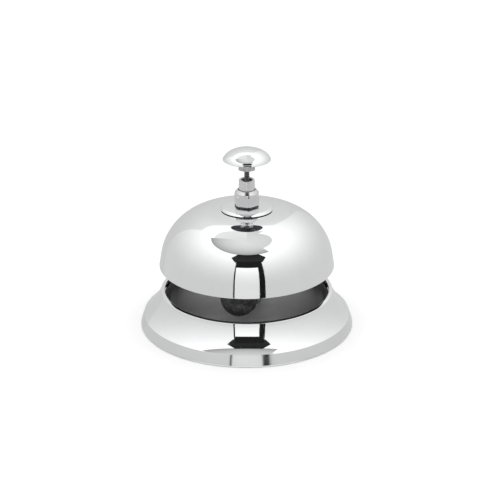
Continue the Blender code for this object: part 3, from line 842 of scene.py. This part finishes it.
def rubber_feet():
    """Push-in feet: a domed pad, a neck through the cover and a barb that holds it."""
    cover_low = bottom("bottom_cover")
    neck_low, neck_high = cover_low - 0.3 * MM, cover_low + 1.3 * MM
    for i in range(1, 5):
        node = f"rubber_foot_{i}"
        low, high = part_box(node)
        pad = (high.x - low.x) / 2
        outline = rounded(
            [
                (0.0, high.z),
                (1.1 * MM, high.z, 0.3 * MM),
                (2.3 * MM, neck_high, 0.2 * MM),
                (1.5 * MM, neck_high, 0.15 * MM),
                (1.5 * MM, neck_low, 0.15 * MM),
                (pad - 0.4 * MM, neck_low, 0.3 * MM),
                (pad, 1.6 * MM, 0.5 * MM),
                (pad - 0.3 * MM, low.z, 0.45 * MM),
                (0.0, low.z),
            ],
            closed=False,
        )
        mesh = lathe(outline, 64, closed=False)
        stand_in(loose_object(node, mesh, Matrix.Translation(foot_centre(i))), node, "rubber")


def pedestal():
    """Clevis block: stud and flange below, slot and two ears for the lever, socket on top."""
    low, high = bottom("pedestal"), top("pedestal")
    floor = top("base_spacer") + 1.6 * MM
    column, flange, stud = 5.4 * MM, 6.2 * MM, 2.9 * MM
    outline = rounded(
        [
            (0.0, high),
            (column, high, 0.5 * MM),
            (column, floor + 1.5 * MM, 0.4 * MM),
            (flange, floor + 1.4 * MM, 0.3 * MM),
            (flange, floor, 0.2 * MM),
            (stud, floor, 0.1 * MM),
            (stud, low, 0.4 * MM),
            (0.0, low),
        ],
        closed=False,
    )
    turn = Matrix.Rotation(STRIKER_TURN, 4, "Z")
    block = loose_object("pedestal", lathe(outline, SMALL, closed=False))
    front = PIVOT_REACH + 3.0 * MM
    ears_low = (-EAR_WIDTH, -front, PIVOT.z - EAR_HEIGHT)
    ears_high = (EAR_WIDTH, -1.0 * MM, PIVOT.z + EAR_HEIGHT)
    ears = loose_object("ears", box_mesh(ears_low, ears_high), turn)
    carve(block, [ears], "UNION")
    slot_low = (-1.5 * MM, -front - MM, 22.5 * MM)
    slot_high = (1.5 * MM, 3.6 * MM, PIVOT.z + EAR_HEIGHT + MM)
    slot = loose_object("slot", box_mesh(slot_low, slot_high), turn)
    post_foot = bottom("post_tube")
    socket = cylinder("socket", reach("post_tube") + 0.25 * MM, post_foot - 0.3 * MM, high + MM)
    clip_bore = cylinder("clip_bore", 2.25 * MM, bottom("plunger_rod") - MM, post_foot + MM)
    along_pin = STRIKER_FRAME @ Matrix.Rotation(pi / 2, 4, "Y")
    pin_hole = cylinder("pin_hole", PIN_HOLE, -6.0 * MM, 6.0 * MM, along_pin)
    carve(block, [slot, socket, clip_bore, pin_hole])
    soften(block, 0.12 * MM)
    stand_in(block, "pedestal", "zinc_steel")


def return_spring():
    """Compression spring with closed ends, which shortens as the button goes down."""
    low, high = bottom("return_spring"), top("return_spring")
    mean = reach("return_spring") - SPRING_WIRE
    per_turn, sides = 40, 12
    count = SPRING_TURNS * per_turn
    rise = high - low - 2 * SPRING_WIRE
    mesh = bmesh.new()
    loops = []
    for i in range(count + 1):
        part = i / count
        # it rises less at both ends, where the coil is closed
        eased = part - 0.055 * sin(2 * pi * part)
        angle = 2 * pi * i / per_turn
        outward = Vector((cos(angle), sin(angle), 0.0))
        middle = outward * mean + Vector((0.0, 0.0, low + SPRING_WIRE + rise * eased))
        loop = []
        for k in range(sides):
            round_wire = 2 * pi * k / sides
            offset = outward * cos(round_wire) + Vector((0.0, 0.0, sin(round_wire)))
            loop.append(mesh.verts.new(middle + SPRING_WIRE * offset))
        loops.append(loop)
    for first, second in zip(loops, loops[1:]):
        for k in range(sides):
            n = (k + 1) % sides
            mesh.faces.new((first[k], first[n], second[n], second[k]))
    mesh.faces.new(loops[0])
    mesh.faces.new(loops[-1])
    bmesh.ops.recalc_face_normals(mesh, faces=mesh.faces)
    spring = stand_in(loose_object("return_spring", mesh), "return_spring", "zinc_steel")
    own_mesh(spring)


def slab(name, outline, thickness):
    """A flat plate in the lever's own plane: points are (towards the back, up) from the pivot."""
    mesh = bmesh.new()
    sides = []
    for x in (-thickness / 2, thickness / 2):
        sides.append([mesh.verts.new((x, y, z)) for y, z in outline])
    count = len(outline)
    for k in range(count):
        n = (k + 1) % count
        mesh.faces.new((sides[0][k], sides[0][n], sides[1][n], sides[1][k]))
    mesh.faces.new(sides[0])
    mesh.faces.new(list(reversed(sides[1])))
    bmesh.ops.recalc_face_normals(mesh, faces=mesh.faces)
    return loose_object(name, mesh, STRIKER_FRAME)


def hammer_drop():
    """Height of the hammer's middle from the pivot, which is below zero."""
    low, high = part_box("hammer_rivet")
    return (low.z + high.z) / 2 - PIVOT.z


def striker_arm():
    """Stamped lever: a tail under the plunger, a pivot eye, and a shank that drops to the hammer."""
    eye = (RIVET_BACK, hammer_drop())
    half, boss = 1.6 * MM, 2.9 * MM
    tail = 12.0 * MM
    ends = [(0.0, half), (tail, half, 0.9 * MM), (tail, -half, 1.1 * MM), (0.0, -half)]
    outline = rounded(ends, closed=False)[1:-1]
    outline += arc((0.0, 0.0), boss, 326, 250, 14)
    outline += arc(eye, 2.6 * MM, 270, 90, 18)
    outline += [point for point in arc((0.0, 0.0), boss, 145, 34, 20) if point[0] < 2.45 * MM]
    arm = slab("striker_arm", outline, LEVER_THICKNESS)
    turned_over = Matrix.Rotation(pi / 2, 4, "Y")
    pivot_hole = cylinder("pivot_hole", PIN_HOLE, -3.0 * MM, 3.0 * MM, STRIKER_FRAME @ turned_over)
    at_eye = STRIKER_FRAME @ Matrix.Translation((0.0, *eye)) @ turned_over
    eye_hole = cylinder("eye_hole", RIVET_HOLE, -3.0 * MM, 3.0 * MM, at_eye)
    carve(arm, [pivot_hole, eye_hole])
    soften(arm, 0.18 * MM, 50.0)
    stand_in(arm, "striker_arm", "zinc_steel")


def roughen(mesh, depth):
    """Pushes points in by a cloudy amount, as sand moulding leaves them."""
    mesh.normal_update()
    for vertex in mesh.verts:
        coarse = noise.fractal(vertex.co * 700.0, 1.0, 2.0, 3)
        fine = noise.fractal(vertex.co * 2600.0 + Vector((3.0, 1.0, 2.0)), 1.0, 2.0, 2)
        inward = min(max(0.5 + 0.42 * coarse + 0.3 * fine, 0.0), 1.0)
        vertex.co -= vertex.normal * depth * inward


def hammer():
    """Cast drum with a blunt nose, slotted from behind for the lever."""
    back, shoulder, nose = HAMMER_REACH
    length, blunt = shoulder - back, nose - shoulder
    low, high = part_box("hammer")
    radius = (high.z - low.z) / 2
    drop = hammer_drop()
    outline = rounded(
        [
            (0.0, length + blunt),
            (3.4 * MM, length + 0.86 * blunt, 2.0 * MM),
            (5.6 * MM, length + 0.5 * blunt, 2.0 * MM),
            (6.9 * MM, length, 1.0 * MM),
            (radius, length - 1.6 * MM, 1.0 * MM),
            (radius, 0.6 * MM, 0.6 * MM),
            (radius - 0.9 * MM, 0.0, 0.4 * MM),
            (0.0, 0.0),
        ],
        closed=False,
    )
    mesh = lathe(resampled(outline, 0.3 * MM, closed=False), MIDDLE, closed=False)
    roughen(mesh, CAST_ROUGHNESS)
    along = Matrix.Translation((0.0, PIVOT_REACH - back, drop)) @ Matrix.Rotation(pi / 2, 4, "X")
    drum = loose_object("hammer", mesh, STRIKER_FRAME @ along)
    slot_low = (-1.35 * MM, PIVOT_REACH - back - 6.9 * MM, drop - 3.1 * MM)
    slot_high = (1.35 * MM, PIVOT_REACH - back + MM, drop + 9.0 * MM)
    slot = loose_object("slot", box_mesh(slot_low, slot_high), STRIKER_FRAME)
    across = Matrix.Translation((0.0, RIVET_BACK, drop)) @ Matrix.Rotation(pi / 2, 4, "Y")
    hole = cylinder("hole", RIVET_HOLE, -9.0 * MM, 9.0 * MM, STRIKER_FRAME @ across)
    carve(drum, [slot, hole])
    stand_in(drum, "hammer", "cast_iron")


def cross_pin(node, radius, half_length, place, head=()):
    """Pin across the lever. head gives the radius and length of a shallow head at one end."""
    outline = [(0.0, half_length), (radius, half_length, 0.2 * MM)]
    if head:
        head_radius, head_length = head
        outline.append((radius, head_length - half_length))
        outline.append((head_radius, head_length - half_length, 0.15 * MM))
        outline.append((head_radius, -half_length, 0.3 * MM))
    else:
        outline.append((radius, -half_length, 0.2 * MM))
    outline.append((0.0, -half_length))
    mesh = lathe(rounded(outline, closed=False), 48, closed=False)
    pin = loose_object(node, mesh, STRIKER_FRAME @ place @ Matrix.Rotation(pi / 2, 4, "Y"))
    stand_in(pin, node, "zinc_steel")


def pins():
    """The lever's pivot pin with its snap ring, and the pin through the hammer."""
    at_hammer = (0.0, RIVET_BACK, hammer_drop())
    cross_pin("pivot_pin", 1.0 * MM, 4.6 * MM, Matrix.Identity(4), (2.0 * MM, 0.8 * MM))
    cross_pin("hammer_rivet", 0.9 * MM, 6.8 * MM, Matrix.Translation(at_hammer))
    ring = lathe(plate(1.15 * MM, 2.0 * MM, 3.6 * MM, 4.2 * MM, 0.1 * MM), 64)
    clip = loose_object("pivot_clip", ring, STRIKER_FRAME @ Matrix.Rotation(pi / 2, 4, "Y"))
    stand_in(clip, "pivot_clip", "dark_steel")


base_shell()
mechanism_pan()
bell_dome()
domed_washer()
lock_washer()
clamp_nut()
post_tube()
push_button()
hex_nut("button_lock_nut", "zinc_steel", BUTTON_NUT_FLATS, ROD_CLEARANCE, 0.35 * MM)
plunger_rod()
small_rings()
hex_nut("base_nut", "zinc_steel", PLAIN_NUT_FLATS, STUD_CLEARANCE, 0.4 * MM)
hex_nut("post_lock_nut", "zinc_steel", PLAIN_NUT_FLATS, POST_CLEARANCE, 0.4 * MM)
bell_seat()
bottom_cover()
rubber_feet()
pedestal()
return_spring()
striker_arm()
hammer()
pins()


# --- Studio and camera --------------------------------------------------------------------------


def glow(name, low_level, high_level, low_z, high_z, curve):
    """Emission that changes with height, slowly at first where curve is over 1."""
    made = bpy.data.materials.new(name)
    made.use_nodes = True
    tree = made.node_tree
    tree.nodes.clear()
    place = add(tree, "ShaderNodeTexCoord").outputs["Object"]
    height = add(tree, "ShaderNodeSeparateXYZ", {"Vector": place}).outputs["Z"]
    part = spread(tree, height, 0.0, 1.0, low_z, high_z)
    level = spread(tree, combine(tree, "POWER", part, curve), low_level, high_level, 0.0, 1.0)
    light = add(tree, "ShaderNodeEmission", {"Color": (1.0, 1.0, 1.0, 1.0), "Strength": level})
    out = add(tree, "ShaderNodeOutputMaterial")
    tree.links.new(light.outputs["Emission"], out.inputs["Surface"])
    return made


def card(name, azimuths, elevations, radius, levels, ends=1.0, curve=2.4, lean=0.0):
    """A curved card round the object. levels are its brightness at its lower and upper edges.

    Azimuth 0 is the front and 90 the right, in degrees. ends narrows the card at its lower and
    upper edges, and lean moves its right side over, by that many degrees at the top.
    """
    mesh = bmesh.new()
    middle, half = (azimuths[0] + azimuths[1]) / 2, (azimuths[1] - azimuths[0]) / 2
    columns = max(2, ceil(2 * half / 3) + 1)
    rows = max(3, ceil((elevations[1] - elevations[0]) / 3) + 1)
    grid = []
    for i in range(columns):
        column = []
        for k in range(rows):
            width = 1 - (1 - ends) * abs(2 * k / (rows - 1) - 1)
            over = lean * i / (columns - 1) * k / (rows - 1)
            turn = radians(middle + half * width * (2 * i / (columns - 1) - 1) + over)
            lift = radians(elevations[0] + (elevations[1] - elevations[0]) * k / (rows - 1))
            away = (sin(turn) * cos(lift), -cos(turn) * cos(lift), sin(lift))
            column.append(mesh.verts.new(STUDIO_CENTRE + radius * Vector(away)))
        grid.append(column)
    for i in range(columns - 1):
        for k in range(rows - 1):
            mesh.faces.new((grid[i][k], grid[i + 1][k], grid[i + 1][k + 1], grid[i][k + 1]))
    made = loose_object(name, mesh)
    low_z = STUDIO_CENTRE.z + radius * sin(radians(max(elevations[0], TABLE_SIDE)))
    high_z = STUDIO_CENTRE.z + radius * sin(radians(elevations[1]))
    made.data.materials.append(glow(name, *levels, low_z, high_z, curve))
    made.visible_camera = False
    made.visible_diffuse = False
    made.visible_shadow = False
    return made


def studio():
    """What the chrome reflects: soft white walls that dim towards the table, a light-grey back
    and ceiling, and in front a near white card in a dark frame, with a dark bar above it."""
    card("near_card", (-14.1, 15.0), (-60.0, 30.1), 0.231, (0.80, 1.16))
    card("near_frame", (-16.0, 22.2), (-60.0, 42.0), 0.250, (0.010, 0.016))
    card("dark_bar", (-28.0, 34.5), (41.5, 58.4), 0.70, (0.030, 0.014), 0.7)
    card("ceiling_front", (-114.0, 50.0), (58.1, 90.0), 0.92, (0.32, 0.82), curve=0.7, lean=-18.0)
    card("back", (165.0, 223.0), (-60.0, 45.0), 1.10, (0.62, 0.84))
    card("walls", (-180.0, 180.0), (-60.0, 61.0), 1.30, (0.66, 1.25))
    card("bright_right", (50.0, 160.0), (60.0, 68.0), 1.25, (1.2, 1.2))
    card("ceiling_right", (29.0, 180.0), (61.0, 90.0), 1.30, (0.70, 0.78))
    card("ceiling_left", (-180.0, -100.0), (61.0, 90.0), 1.30, (0.88, 0.80))


def floor():
    """Plain pale paper. It stays out of reflections, where the cards take its place."""
    mesh = bmesh.new()
    bmesh.ops.create_grid(mesh, x_segments=8, y_segments=8, size=5.0)
    made = loose_object("floor", mesh)
    finish, tree, shader, place = new_finish("floor_paper", 0.0)
    grain = cloud(tree, place, 900.0, 2.0)
    paper = shade_between(tree, grain, (0.9, 0.9, 0.9), (0.93, 0.93, 0.93))
    tree.links.new(paper, shader.inputs["Base Color"])
    shader.inputs["Roughness"].default_value = 0.9
    shader.inputs["Specular IOR Level"].default_value = 0.0
    made.data.materials.append(finish)
    made.visible_glossy = False


def world_light():
    """Even white light from all round."""
    world = bpy.data.worlds.new("studio_white")
    world.use_nodes = True
    bpy.context.scene.world = world
    background = world.node_tree.nodes["Background"]
    background.inputs["Color"].default_value = (1.0, 1.0, 1.0, 1.0)
    background.inputs["Strength"].default_value = 1.0


def top_light():
    """A wide soft light that brightens the floor and the rough pieces."""
    data = bpy.data.lights.new("top_light", "AREA")
    data.shape = "DISK"
    data.size = 1.6
    data.energy = 6.0
    made = bpy.data.objects.new("top_light", data)
    made.location = (0.0, -0.2, 1.4)
    made.visible_glossy = False
    made.visible_camera = False
    bpy.context.scene.collection.objects.link(made)


def camera():
    """Long lens from the front, 22 degrees above the table."""
    data = bpy.data.cameras.new("camera")
    data.sensor_width = 36.0
    data.lens = CAMERA_LENS
    data.shift_x, data.shift_y = CAMERA_SHIFT
    data.clip_start = 0.01
    made = bpy.data.objects.new("camera", data)
    towards = Vector((0.0, -cos(CAMERA_ELEVATION), sin(CAMERA_ELEVATION)))
    made.location = CAMERA_TARGET + CAMERA_DISTANCE * towards
    made.rotation_euler = (pi / 2 - CAMERA_ELEVATION, 0.0, 0.0)
    bpy.context.scene.collection.objects.link(made)
    bpy.context.scene.camera = made


studio()
floor()
world_light()
top_light()
camera()
bpy.context.scene.view_settings.view_transform = "Standard"
